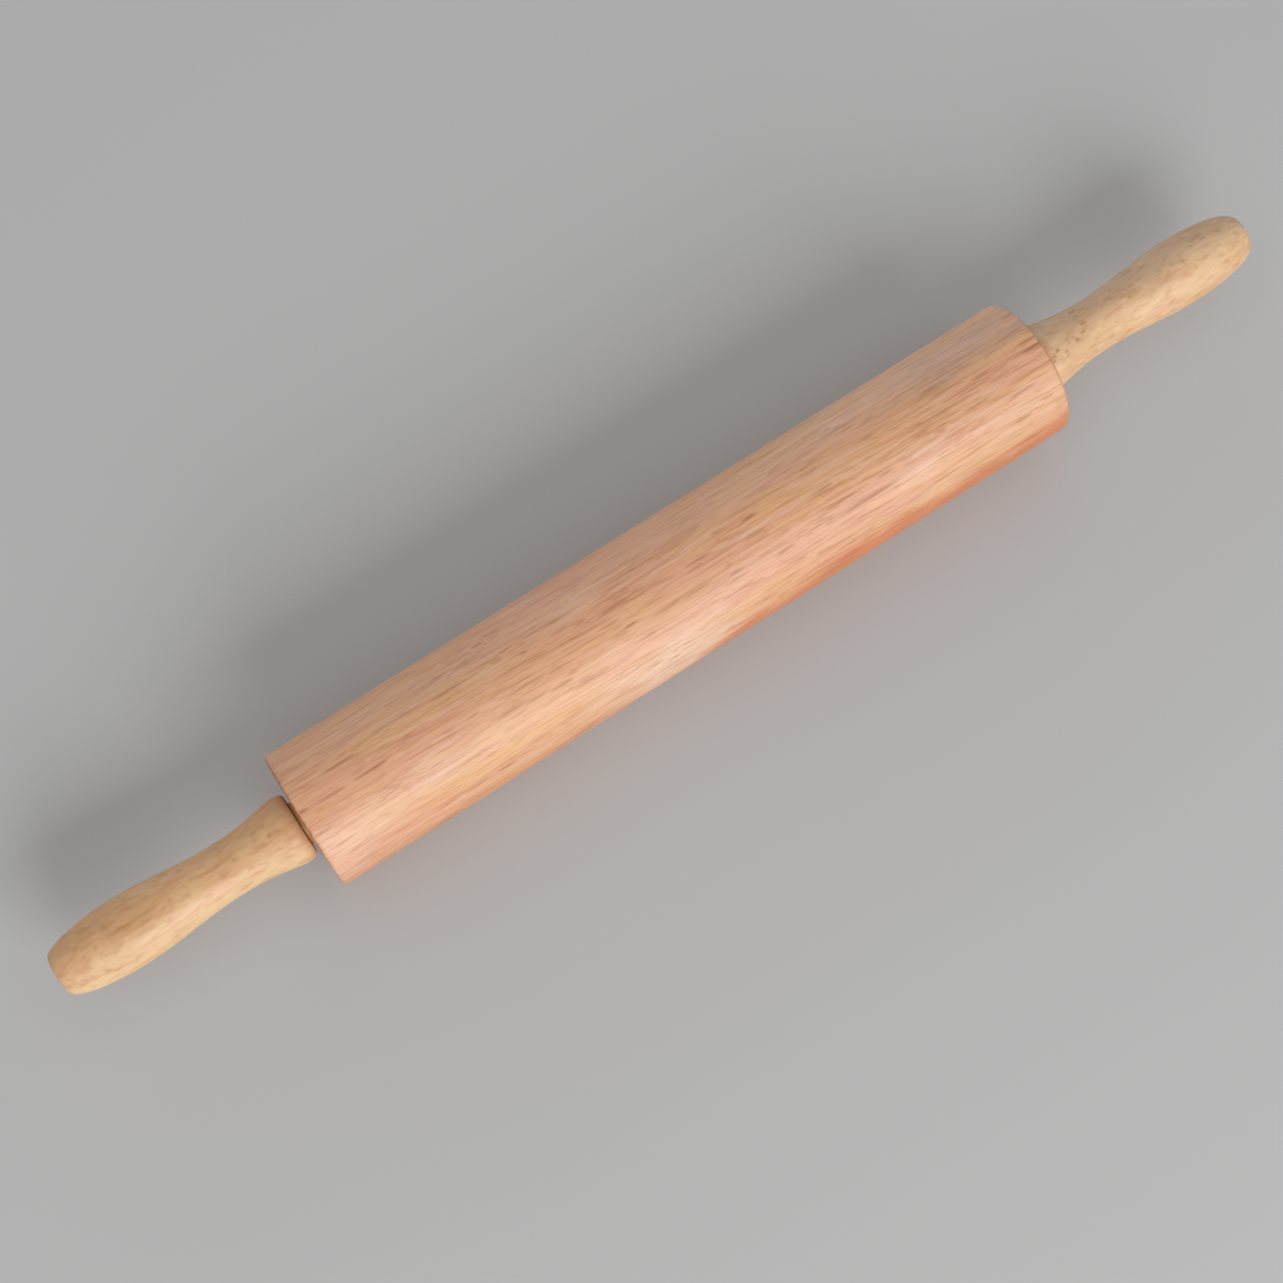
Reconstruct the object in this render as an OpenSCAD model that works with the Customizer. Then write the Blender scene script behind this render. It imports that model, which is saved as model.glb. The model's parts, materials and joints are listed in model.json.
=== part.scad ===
// Rolling pin with a barrel that turns freely on a steel axle rod
// and slides a little between its two turned handles.
// The axis runs along X, the barrel lies on Z = 0,
// and the origin is under the middle of the pin.

/* [Barrel] */
// Diameter of the barrel
barrel_d = 51; // [44:0.5:64]
// Length of the barrel
barrel_l = 298; // [200:1:380]
// Radius of the eased edge round each end of the barrel
barrel_ease = 1.5; // [0.2:0.1:3]
// Air round the axle rod in the drilled core of the barrel
core_gap = 1; // [0.6:0.1:1.6]

/* [Axle rod] */
// Diameter of the axle rod
rod_d = 8; // [7:0.5:10]
// Diameter of the threaded ends of the rod
thread_d = 6; // [4:0.5:6.5]
// Width of the undercut between shoulder and thread
undercut_w = 1.4; // [0.8:0.1:2.5]
// Depth of the undercut below the thread
undercut_depth = 0.5; // [0.2:0.1:0.8]
// Chamfer on the ends of the rod
rod_chamfer = 0.8; // [0.4:0.1:1.2]

/* [Bushes] */
// Length of a bush, with its flange
bush_l = 24; // [12:0.5:40]
// Wall of the bush sleeve
bush_wall = 2.4; // [1.5:0.1:3]
// How far the flange stands out beyond the sleeve
flange_lip = 2; // [1:0.1:3.5]
// Thickness of the flange, sunk flush in the end of the barrel
flange_t = 1.8; // [1:0.1:4]
// Number of crush ribs round the sleeve
rib_n = 6; // [3:1:8]
// Width of a crush rib
rib_w = 1; // [0.6:0.1:2]
// How far a crush rib bites into the wood
rib_bite = 0.12; // [0.05:0.01:0.2]
// Lead chamfer at the inner end of the sleeve
bush_lead = 0.8; // [0.4:0.1:1.2]
// Cone at each mouth of the bush's bore
bore_lead = 0.5; // [0.2:0.1:0.8]

/* [Washers] */
// Diameter of the washer at each end of the barrel
washer_d = 16; // [13:0.5:20.5]
// Thickness of the washer
washer_t = 1.4; // [0.5:0.1:2]

/* [Handles] */
// Diameter of the flat face next to the barrel
root_d = 21.8; // [17:0.2:26]
// Diameter of the bead beside the barrel
bead_d = 24.9; // [22:0.1:32]
// Distance from the flat face to the top of the bead
bead_at = 5; // [3:0.2:8]
// Diameter of the neck
neck_d = 19.6; // [17:0.2:24]
// Distance from the bead to the neck
bead_to_neck = 23; // [15:1:40]
// Diameter of the swell that fills the palm
swell_d = 24.6; // [22:0.2:34]
// Distance from the neck to the swell
neck_to_swell = 38; // [30:1:60]
// Diameter of the flat face at the tip
tip_d = 13.4; // [8:0.2:18]
// Distance from the swell to the tip
swell_to_tip = 26; // [15:1:45]
// How early the hollow falls away from the bead, 1 being an even swing
hollow_lead = 0.6; // [0.5:0.05:1]
// Fullness of the nose, 2 being an ellipse
nose_power = 1.9; // [1.4:0.1:3]

/* [Handle inserts] */
// Length of the threaded insert in each handle
insert_l = 24; // [20:0.5:30]
// Depth of the smooth socket that takes the full rod
socket_l = 8; // [4:0.5:9]
// Wall of the insert round the rod
insert_wall = 1.6; // [1.2:0.1:2]
// Number of barbed rings on the insert
barb_n = 7; // [4:1:10]
// Depth of the barbs
barb_depth = 0.5; // [0.2:0.1:0.8]
// Share of each ring taken by its rise, the rest being the step back
barb_rise = 0.8; // [0.5:0.05:0.9]
// How far the end of the rod stays short of the insert's inner end
tip_room = 2; // [1:0.5:3]

/* [Fits] */
// How far the barrel can slide from end to end
end_play = 0.8; // [0.6:0.1:4]
// Clear gap between the left washer and its handle at rest
left_gap = 0.15; // [0.1:0.05:0.5]
// Radial clearance of the rod in its bushes
run_gap = 0.08; // [0.03:0.01:0.1]
// Radial clearance of the washers on the rod
washer_gap = 0.3; // [0.15:0.05:0.6]
// Radial slip between sleeve and wood, and round the sunk flange
seat_gap = 0.1; // [0.05:0.05:0.3]
// Glue line round each insert
glue_gap = 0.1; // [0.05:0.05:0.2]
// Radial clearance of thread and insert, drawn as plain cylinders
thread_gap = 0.05; // [0.02:0.01:0.1]

/* [Hidden] */
$fn = 96;

// Steps of each curved stretch of the handle's outline
curve_steps = 20;
// How far a cut runs past the face that it opens
over = 1;

// Height of the axis above the table
axis_z = barrel_d / 2;
// Distance between the flat faces of the two handles
span = barrel_l + 2 * washer_t + end_play;
// How far the barrel lies off centre at rest, towards the left handle
rest_shift = end_play / 2 - left_gap;

core_d = rod_d + 2 * core_gap;
bush_bore_d = rod_d + 2 * run_gap;
sleeve_d = bush_bore_d + 2 * bush_wall;
flange_d = sleeve_d + 2 * flange_lip;
seat_d = sleeve_d + 2 * seat_gap;
flange_seat_d = flange_d + 2 * seat_gap;
washer_bore_d = rod_d + 2 * washer_gap;

insert_d = rod_d + 2 * (thread_gap + insert_wall);
pocket_d = insert_d + 2 * glue_gap;
thread_bore_d = thread_d + 2 * thread_gap;
thread_l = insert_l - socket_l - tip_room;

neck_at = bead_at + bead_to_neck;
swell_at = neck_at + neck_to_swell;
handle_l = swell_at + swell_to_tip;

// Lays what is drawn along Z on the axis of the pin,
// with side 1 reaching to the right and -1 to the left, from x outwards
module along(side, x) {
    translate([side * x, 0, axis_z]) rotate([0, side * 90, 0]) children();
}

// The same for what moves with the barrel, which lies off centre at rest
module on_barrel(side, x) {
    translate([-rest_shift, 0, 0]) along(side, x) children();
}

// Cuts that seat a bush in one end of the barrel:
// a bore for its sleeve and a shallow recess that sinks its flange
module barrel_end_cuts() {
    translate([0, 0, -bush_l]) cylinder(d = seat_d, h = bush_l + over);
    translate([0, 0, -flange_t]) cylinder(d = flange_seat_d, h = flange_t + over);
}

module barrel() {
    r = barrel_d / 2;
    half = barrel_l / 2;
    // Arc of the eased edge at the upper end, from the flat face to the wall
    arc = [for (a = [0 : 15 : 90])
        [r - barrel_ease * (1 - sin(a)), half - barrel_ease * (1 - cos(a))]];
    color("#d29b76") difference() {
        on_barrel(1, 0) rotate_extrude() polygon(concat(
            [[0, -half]],
            [for (point = arc) [point[0], -point[1]]],
            [for (i = [len(arc) - 1 : -1 : 0]) arc[i]],
            [[0, half]]
        ));
        on_barrel(1, -half - over) cylinder(d = core_d, h = barrel_l + 2 * over);
        for (side = [-1, 1]) on_barrel(side, half) barrel_end_cuts();
    }
}

// Flanged sleeve bearing, drawn with its flange's outer face at Z = 0
// and its sleeve running down into the wood
module bush() {
    sleeve_r = sleeve_d / 2;
    bore_r = bush_bore_d / 2;
    rib_r = seat_d / 2 + rib_bite;
    rib_l = bush_l - flange_t - 2 * bush_lead;
    color("#e9dfc6") {
        rotate_extrude() polygon([
            [bore_r + bore_lead, 0],
            [flange_d / 2, 0],
            [flange_d / 2, -flange_t],
            [sleeve_r, -flange_t],
            [sleeve_r, -bush_l + bush_lead],
            [sleeve_r - bush_lead, -bush_l],
            [bore_r + bore_lead, -bush_l],
            [bore_r, -bush_l + bore_lead],
            [bore_r, -bore_lead]
        ]);
        intersection() {
            translate([0, 0, -flange_t - rib_l]) cylinder(r = rib_r, h = rib_l);
            for (i = [0 : rib_n - 1]) rotate(i * 360 / rib_n)
                translate([sleeve_r - bush_wall / 2, -rib_w / 2, -bush_l])
                    cube([bush_wall / 2 + rib_r, rib_w, bush_l]);
        }
    }
}

module bush_left() on_barrel(-1, barrel_l / 2) bush();
module bush_right() on_barrel(1, barrel_l / 2) bush();

// Thin loose washer between the end of the barrel and the handle
module washer() {
    color("#efe6cf") difference() {
        cylinder(d = washer_d, h = washer_t);
        translate([0, 0, -over]) cylinder(d = washer_bore_d, h = washer_t + 2 * over);
    }
}

module washer_left() on_barrel(-1, barrel_l / 2) washer();
module washer_right() on_barrel(1, barrel_l / 2) washer();

// Steel rod with a shoulder, an undercut and a thread at each end
module axle_rod() {
    r = rod_d / 2;
    thread_r = thread_d / 2;
    shoulder = span / 2 + socket_l;
    tip = shoulder + thread_l;
    // Outline of the right half, from the middle to the tip
    half = [
        [r, shoulder - rod_chamfer / 2],
        [r - rod_chamfer / 2, shoulder],
        [thread_r - undercut_depth, shoulder],
        [thread_r - undercut_depth, shoulder + undercut_w],
        [thread_r, shoulder + undercut_w + undercut_depth],
        [thread_r, tip - rod_chamfer],
        [thread_r - rod_chamfer, tip]
    ];
    n = len(half);
    mirrored = [for (i = [n - 1 : -1 : 0]) [half[i][0], -half[i][1]]];
    color("#b9bcc0") along(1, 0)
        rotate_extrude() polygon(concat([[0, -tip]], mirrored, half, [[0, tip]]));
}

// Brass sleeve glued into a handle: a smooth socket takes the full rod,
// and the narrower threaded bore behind it takes the rod's end
module insert() {
    r = insert_d / 2;
    pitch = insert_l / (barb_n + 1);
    // One plain land at the mouth, then saw-tooth rings that face it
    barbs = [for (i = [1 : barb_n], end = [0, 1])
        [r - (1 - end) * barb_depth, (i + end * barb_rise) * pitch]];
    color("#c9a552") rotate_extrude() polygon(concat(
        [[rod_d / 2 + thread_gap, 0], [r, 0], [r, pitch]],
        barbs,
        [
            [r - barb_depth, insert_l],
            [thread_bore_d / 2, insert_l],
            [thread_bore_d / 2, socket_l],
            [rod_d / 2 + thread_gap, socket_l]
        ]
    ));
}

module insert_left() along(-1, span / 2) insert();
module insert_right() along(1, span / 2) insert();

// A smooth swing from radius a at 0 to radius b at 1, level at both ends
function swing(a, b, t) = (a + b) / 2 + (a - b) / 2 * cos(180 * t);

// Outline of the turned handle, from the face by the barrel to the tip:
// a quarter ellipse up to the bead, a hollow down to the neck,
// a long rise to the swell, and a full nose cut off flat
function handle_outline() =
    let (n = curve_steps)
    let (root_r = root_d / 2, bead_r = bead_d / 2, neck_r = neck_d / 2)
    let (swell_r = swell_d / 2, tip_r = tip_d / 2, k = 2 / nose_power)
    concat(
        [for (i = [0 : n / 2]) let (a = 180 * i / n)
            [root_r + (bead_r - root_r) * sin(a), bead_at * (1 - cos(a))]],
        [for (i = [1 : n]) let (t = i / n)
            [swing(bead_r, neck_r, pow(t, hollow_lead)), bead_at + bead_to_neck * t]],
        [for (i = [1 : n]) let (t = i / n)
            [swing(neck_r, swell_r, t), neck_at + neck_to_swell * t]],
        [for (i = [1 : n]) let (a = 90 * i / n)
            [
                tip_r + (swell_r - tip_r) * pow(max(0, cos(a)), k),
                swell_at + swell_to_tip * pow(sin(a), k)
            ]]
    );

module handle() {
    color("#dcb585") difference() {
        rotate_extrude() polygon(concat([[0, 0]], handle_outline(), [[0, handle_l]]));
        translate([0, 0, -over]) cylinder(d = pocket_d, h = insert_l + over);
    }
}

module handle_left() along(-1, span / 2) handle();
module handle_right() along(1, span / 2) handle();

barrel();
bush_left();
bush_right();
washer_left();
washer_right();
axle_rod();
insert_left();
insert_right();
handle_left();
handle_right();
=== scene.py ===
"""Rolling pin: a turned wooden barrel that runs on a steel axle rod between two turned
handles. Lengths are in metres, and the axis of the pin lies along X."""

import json
import math

import bpy
import numpy as np
from bpy.props import FloatProperty, FloatVectorProperty, IntProperty, PointerProperty
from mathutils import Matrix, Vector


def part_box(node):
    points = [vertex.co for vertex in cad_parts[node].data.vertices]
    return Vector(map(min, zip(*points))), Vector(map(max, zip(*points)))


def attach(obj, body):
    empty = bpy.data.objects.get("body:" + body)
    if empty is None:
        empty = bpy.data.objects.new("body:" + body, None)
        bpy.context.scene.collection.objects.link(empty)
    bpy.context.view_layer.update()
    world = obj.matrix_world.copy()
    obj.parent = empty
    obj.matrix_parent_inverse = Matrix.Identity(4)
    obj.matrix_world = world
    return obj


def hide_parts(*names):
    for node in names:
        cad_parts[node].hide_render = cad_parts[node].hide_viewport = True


bl_info = {
    "name": "Rolling Pin",
    "version": (1, 0, 0),
    "blender": (4, 5, 0),
    "location": "View3D > Sidebar > Rolling Pin",
    "description": "Surfaces, woods, fittings and a studio for a rolling pin with turning barrel",
    "category": "Object",
}

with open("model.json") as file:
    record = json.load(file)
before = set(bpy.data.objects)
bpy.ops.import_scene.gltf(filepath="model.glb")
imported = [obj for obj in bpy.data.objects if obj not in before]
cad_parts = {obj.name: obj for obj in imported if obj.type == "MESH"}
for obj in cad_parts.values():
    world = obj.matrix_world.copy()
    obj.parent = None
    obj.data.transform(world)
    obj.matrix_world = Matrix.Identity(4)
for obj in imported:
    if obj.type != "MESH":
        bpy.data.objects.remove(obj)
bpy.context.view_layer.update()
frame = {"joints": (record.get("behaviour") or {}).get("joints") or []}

MM = 0.001

# Columns round the axis, or round the middle of the floor. The barrel has the most, because
# they carry its grain marks.
BARREL_COLUMNS = 480
HANDLE_COLUMNS = 240
BUSH_COLUMNS = 240
WASHER_COLUMNS = 128
THREAD_COLUMNS = 72
FLOOR_COLUMNS = 96

# Rows along the rod's thread and along the bore of an insert
THREAD_ROWS = 200
BORE_ROWS = 180

# Steps of the curve on an eased corner, and the points that such a corner has in a profile
EASE_STEPS = 6
EASED_POINTS = EASE_STEPS + 2

# Faces that meet at more than this angle keep a sharp edge between them
SHARP_ANGLE = math.radians(35)

# Width in mm that the camera's focal length is given for
PICTURE_WIDTH = 36

# Sockets of a colour Mix node, which it shares with its other kinds, and of a Map Range node
MIX_A, MIX_B, MIX_RESULT = 6, 7, 2
FROM_LOW, FROM_HIGH, TO_LOW, TO_HIGH = 1, 2, 3, 4


def linear(code):
    """Turns an sRGB hex code into linear red, green and blue."""
    srgb = np.array([int(code[i:i + 2], 16) for i in (1, 3, 5)]) / 255
    low, high = srgb / 12.92, ((srgb + 0.055) / 1.055) ** 2.4
    return tuple(float(c) for c in np.where(srgb <= 0.04045, low, high))


def length(name, description, value):
    """A length that a user can set, with its default in millimetres."""
    return FloatProperty(name=name, description=description, default=value * MM, min=0, unit="LENGTH")


def colour(name, description, code):
    """A colour that a user can set, with its default as an sRGB hex code."""
    return FloatVectorProperty(
        name=name, description=description, default=linear(code), min=0, max=1, size=3, subtype="COLOR")


class PinBarrelSettings(bpy.types.PropertyGroup):
    """Sizes of the barrel and of what is cut into its ends."""

    ease: length("Eased edge", "How far the eased edge reaches from each corner", 1.75)
    core: length("Core bore", "Diameter of the drilled core", 10)
    seat: length("Bush seat", "Diameter of the bore that takes a bush's sleeve", 13.16)
    seat_depth: length("Seat depth", "Depth of that bore", 24)
    recess: length("Flange recess", "Diameter of the recess that sinks a bush's flange", 17.16)
    recess_depth: length("Recess depth", "Depth of that recess", 1.8)
    mouth: length("Recess edge", "How far the eased edge of that recess reaches", 0.2)
    sanding: length("Sanding", "How far hand sanding dips below the true cylinder", 0.05)


class PinHandleSettings(bpy.types.PropertyGroup):
    """Sizes of the handles' turned outline, from the face by the barrel to the tip."""

    root: length("Root", "Diameter of the flat face next to the barrel", 21.8)
    bead: length("Bead", "Diameter of the bead", 24.9)
    bead_at: length("Bead place", "Distance from the root to the bead", 5)
    neck: length("Neck", "Diameter of the neck", 19.6)
    neck_at: length("Neck place", "Distance from the root to the neck", 28)
    swell: length("Swell", "Diameter of the swell", 24.6)
    swell_at: length("Swell place", "Distance from the root to the swell", 66)
    tip: length("Tip", "Diameter of the flat face at the tip", 13.4)
    pocket: length("Pocket", "Diameter of the pocket that takes the insert", 11.5)
    pocket_depth: length("Pocket depth", "Depth of that pocket", 24)
    hollow_lead: FloatProperty(
        name="Hollow lead", description="How early the hollow falls away from the bead", default=0.6)
    nose_power: FloatProperty(
        name="Nose power", description="Fullness of the nose, 2 being an ellipse", default=1.9)


class PinFittingSettings(bpy.types.PropertyGroup):
    """Sizes of the rod, bushes, washers and inserts."""

    rod: length("Rod", "Diameter of the axle rod", 8)
    thread: length("Thread", "Diameter over the thread at each end of the rod", 6)
    pitch: length("Pitch", "Pitch of the thread", 1)
    thread_depth: length("Thread depth", "Depth of the thread", 0.55)
    undercut: length("Undercut", "Width of the undercut between shoulder and thread", 1.4)
    shoulder_chamfer: length("Shoulder chamfer", "Chamfer on the shoulders of the rod", 0.4)
    socket: length("Socket", "Depth of the insert's smooth socket", 8)
    barb_depth: length("Barb depth", "Depth of the insert's barbed rings", 0.5)
    clearance: length("Thread clearance", "Clearance between the rod and the insert", 0.05)
    flange: length("Flange thickness", "Thickness of a bush's flange", 1.8)
    sleeve: length("Sleeve", "Diameter of a bush's sleeve between its ribs", 12.96)
    bush_bore: length("Bush bore", "Bore of a bush", 8.16)
    bore_lead: length("Bore lead", "Cone at each mouth of a bush's bore", 0.5)
    sleeve_lead: length("Sleeve lead", "Cone at the inner end of a bush's sleeve", 0.8)
    rib_width: length("Rib width", "Width of a crush rib", 1)
    rib_height: length("Rib height", "How far a crush rib stands out from the sleeve", 0.22)
    washer_bore: length("Washer bore", "Bore of a washer", 8.6)
    edge: length("Moulded edge", "Rounding of the moulded and turned edges", 0.2)
    ribs: IntProperty(name="Crush ribs", description="Number of crush ribs on a bush", default=6)
    barbs: IntProperty(name="Barbs", description="Number of barbed rings on an insert", default=7)


class PinFinishSettings(bpy.types.PropertyGroup):
    """Colours of the woods, the nylon and the metals."""

    barrel: colour("Barrel wood", "Body colour of the barrel's wood", "#DDA97C")
    barrel_pink: colour("Barrel pink", "Pinkish streaks in the barrel's wood", "#DC9D84")
    barrel_yellow: colour("Barrel yellow", "Yellowish streaks in the barrel's wood", "#E0AD76")
    # Pale streaks of the wood in its clouds, and painted sheen in the placed pale patches
    barrel_pale_and_sheen: colour("Barrel pale", "Pale streaks in the barrel's wood", "#E8C4AA")
    # Painted grey sheen: a greyer cast on the far side towards the right end, standing in for light that
    # grazes it
    barrel_grey_sheen: colour("Barrel grey", "Greyer wood towards the barrel's right end", "#C4A088")
    # Painted warm reflected light: an orange band along the barrel, low on the near side
    barrel_warm_bounce: colour("Barrel heart", "Warm streak of heartwood along the barrel", "#D28456")
    handle: colour("Handle wood", "Body colour of the handles' wood", "#DEB98F")
    handle_brown: colour("Handle brown", "Brownish clouds in the handles' wood", "#D3A678")
    handle_pink: colour("Handle pink", "Pinkish clouds in the handles' wood", "#DFAC8C")
    # Pale mottles of the wood in its clouds, and painted light low on the left handle's near side
    handle_pale_and_light: colour("Handle pale", "Pale mottles in the handles' wood", "#E8C797")
    # Painted shade on the upper sides of the handles: browner on the left, greyer on the right
    handle_left_shade: colour("Handle tan", "Tint of the left handle's browner upper side", "#F6EADC")
    handle_right_shade: colour("Handle grey", "Tint of the right handle's greyer upper side", "#EBECF4")
    grain: colour("Grain", "Tint that the darker grain lays over a wood", "#DABDA8")
    vessel: colour("Vessels", "Lines that cut-open vessels leave along the grain", "#A05E34")
    fleck: colour("Flecks", "Small brown flecks in the handles' wood", "#A0743F")
    # End grain tint; on the barrel it is in part painted shade, weaker low on the near side where the light
    # falls
    rim: colour("End grain", "Tint that the end grain lays over a wood", "#D9C0AE")
    nylon: colour("Nylon", "Bushes", "#DDD2B4")
    # The tan of oil in the nylon, made deeper as painted warm bounce light from the wood round the washer
    washer: colour("Washer nylon", "Washers, tanned by oil from the wood", "#E0A868")
    steel: colour("Steel", "Axle rod", "#B9BCC0")
    brass: colour("Brass", "Threaded inserts", "#D2B36A")


class PinStageSettings(bpy.types.PropertyGroup):
    """The camera, lamps and floor."""

    azimuth: FloatProperty(
        name="Azimuth", description="Compass angle of the view",
        default=math.radians(-33.227), subtype="ANGLE")
    elevation: FloatProperty(
        name="Elevation", description="Height angle of the view",
        default=math.radians(74.547), subtype="ANGLE")
    lens: FloatProperty(
        name="Focal length", description="For a square picture 36 mm wide",
        default=61.17, subtype="DISTANCE_CAMERA")
    distance: length("Distance", "From the camera to the middle of the pin", 751.3)
    off_right: length("Off right", "How far the pin's middle lies right of the picture's middle", 11.94)
    off_up: length("Off up", "How far the pin's middle lies above the picture's middle", 18.64)
    floor: colour("Floor", "Plain pale floor", "#BCBCBC")
    surround: colour("Surround", "Light from all round, and what is seen past the floor", "#D0D0D0")
    surround_level: FloatProperty(
        name="Surround level", description="Strength of the light from all round", default=0.84)


def add(tree, kind, inputs=None, **settings):
    """Adds one node with its settings, and links or fills its inputs, by name or by number."""
    made = tree.nodes.new("ShaderNode" + kind)
    for name, value in settings.items():
        setattr(made, name, value)
    for key, value in (inputs or {}).items():
        if isinstance(value, bpy.types.NodeSocket):
            tree.links.new(value, made.inputs[key])
        else:
            made.inputs[key].default_value = value
    return made


def eased(corners):
    """Profile through corners (x, radius, ease). A corner with an ease is replaced by a
    quadratic curve that leaves each side at that distance from the corner. One more point
    on each side, a little further out, keeps the flats flat under smooth shading."""
    further = 1.4
    corners = np.array(corners, float)
    t = np.linspace(0, 1, EASE_STEPS)[:, None]
    pieces = []
    for i, (x, r, ease) in enumerate(corners):
        corner = np.array([x, r])
        if not ease:
            pieces.append(corner[None])
            continue
        back = corners[i - 1][:2] - corner
        ahead = corners[(i + 1) % len(corners)][:2] - corner
        start = back / np.linalg.norm(back) * ease
        end = ahead / np.linalg.norm(ahead) * ease
        curve = corner + (1 - t) ** 2 * start + t ** 2 * end
        pieces += [corner[None] + further * start, curve, corner[None] + further * end]
    return np.concatenate(pieces).T


def fill_in(x, r, step):
    """The same profile with points added so that none lie further apart than step."""
    run = np.concatenate([[0], np.cumsum(np.hypot(np.diff(x), np.diff(r)))])
    count = np.maximum(1, np.ceil(np.diff(run) / step)).astype(int)
    spaced = [np.linspace(a, b, n, endpoint=False) for a, b, n in zip(run, run[1:], count)]
    spaced = np.append(np.concatenate(spaced), run[-1])
    return np.interp(spaced, run, x), np.interp(spaced, run, r)


def angles(columns):
    """Angles round the axis, from +Y towards +Z, as one row."""
    return np.linspace(0, 2 * math.pi, columns, endpoint=False)[None, :]


def turned(name, x, r, columns, side=1, loop=False, attributes=None):
    """Profile carried round the pin's axis: a point of the profile at x and r lies, at angle
    a, at (side x, r cos a, axis height + r sin a). The profile runs so that an outer wall
    goes with growing x. A row of no radius at either end closes to one pole, and a loop joins
    its last row to its first. x and r may also change with the angle."""
    a = angles(columns)
    x, r = np.broadcast_arrays(np.atleast_2d(x.T).T + 0 * a, np.atleast_2d(r.T).T + 0 * a)
    points = np.stack([side * x, r * np.cos(a), AXIS_HEIGHT + r * np.sin(a)], -1).reshape(-1, 3)
    index = np.arange(x.size).reshape(x.shape)
    poles = [] if loop else [row for row in (0, -1) if np.allclose(r[row], 0, atol=1e-9)]
    for row in poles:
        index[row] = index[row, 0]
    if loop:
        index = np.concatenate([index, index[:1]])
    index = np.concatenate([index, index[:, :1]], 1)

    # Four-sided faces between the rows, and three-sided ones round a pole
    quads = np.stack([index[:-1, :-1], index[:-1, 1:], index[1:, 1:], index[1:, :-1]], -1)
    first, last = 1 if 0 in poles else 0, -1 if -1 in poles else None
    faces = [quads[first:last].reshape(-1, 4)]
    if 0 in poles:
        faces.append(quads[0][:, [0, 2, 3]])
    if -1 in poles:
        faces.append(quads[-1][:, [0, 1, 2]])

    # Only one point of a pole's row is used, so the others go and the rest are renumbered.
    # On the left side the faces run the other way round, so that they still face outwards.
    used = np.unique(index)
    renumber = np.zeros(len(points), int)
    renumber[used] = np.arange(len(used))
    mesh = bpy.data.meshes.new(name)
    faces = [face for part in faces for face in renumber[part[:, ::side]].tolist()]
    mesh.from_pydata(points[used].tolist(), [], faces)
    for key, values in (attributes or {}).items():
        layer = mesh.attributes.new(key, "FLOAT", "POINT")
        values = np.broadcast_to(values, x.shape).reshape(-1)[used]
        layer.data.foreach_set("value", values.astype(np.float32))
    mesh.polygons.foreach_set("use_smooth", np.ones(len(mesh.polygons), bool))
    mesh.set_sharp_from_angle(angle=SHARP_ANGLE)
    piece = bpy.data.objects.new(name, mesh)
    bpy.context.scene.collection.objects.link(piece)
    return piece


def turned_back(r):
    """The same radii with their columns in the opposite order round the axis."""
    columns = r.shape[1]
    return r[:, -np.arange(columns) % columns]


def place(piece, node, body, material):
    """Lets a piece stand for its node, ride on its body and take its material."""
    piece.data.materials.append(material)
    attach(piece, body)
    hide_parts(node)


def ends(node):
    """Lowest and highest X of a node at rest."""
    low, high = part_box(node)
    return low.x, high.x


def swing(a, b, t):
    """A smooth swing from a at 0 to b at 1, level at both ends: half a turn of a cosine."""
    return (a + b) / 2 + (a - b) / 2 * np.cos(math.pi * t)


def diameter(node):
    """Diameter of a round node, which is its extent along Y."""
    low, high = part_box(node)
    return high.y - low.y


def smoothstep(low, high, value):
    """0 below low, 1 above high, and a smooth rise between."""
    t = np.clip((value - low) / (high - low), 0, 1)
    return t * t * (3 - 2 * t)


SPIN = next(joint for joint in frame["joints"] if joint["name"] == "barrel_spin")
AXIS_HEIGHT = SPIN["pos_m"][2]
BARREL_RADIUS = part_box("barrel")[1].z - AXIS_HEIGHT


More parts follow.
